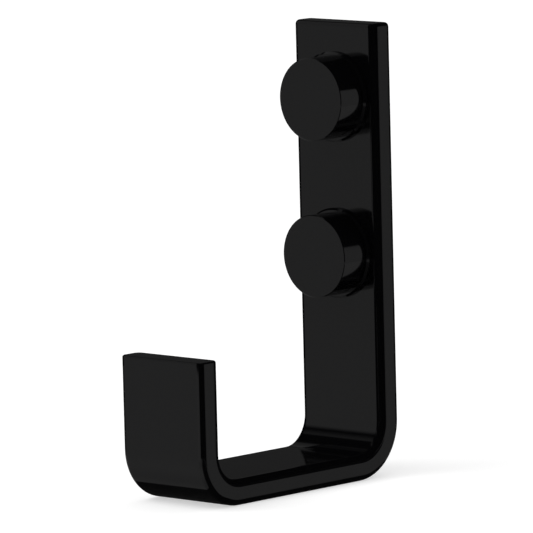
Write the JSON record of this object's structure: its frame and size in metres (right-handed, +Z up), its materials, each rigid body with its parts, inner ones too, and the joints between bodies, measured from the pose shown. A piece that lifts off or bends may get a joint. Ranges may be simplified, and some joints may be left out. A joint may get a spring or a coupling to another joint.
{
  "type": "utility hook",
  "caption": "J-shaped wall hook bent from flat bar with rounded edges, held by screws hidden under round caps.",
  "frame": {"origin": "on the wall face of the bar, midway between the two screws and on the bar's middle line", "axes": "+Y into the wall, +Z up along the leg, +X across the bar; the hook reaches out along -Y and opens upwards"},
  "size_m": [0.025, 0.0657, 0.1043],
  "materials": {
    "bar_coating": "smooth semi-gloss black powder coat on bent steel flat bar",
    "turned_coating": "smooth semi-gloss black powder coat on turned steel"
  },
  "bodies": {
    "root": {"hook_bar": "bar_coating", "upper_sleeve": "turned_coating", "lower_sleeve": "turned_coating", "upper_cap": "turned_coating", "lower_cap": "turned_coating"}
  },
  "joints": []
}
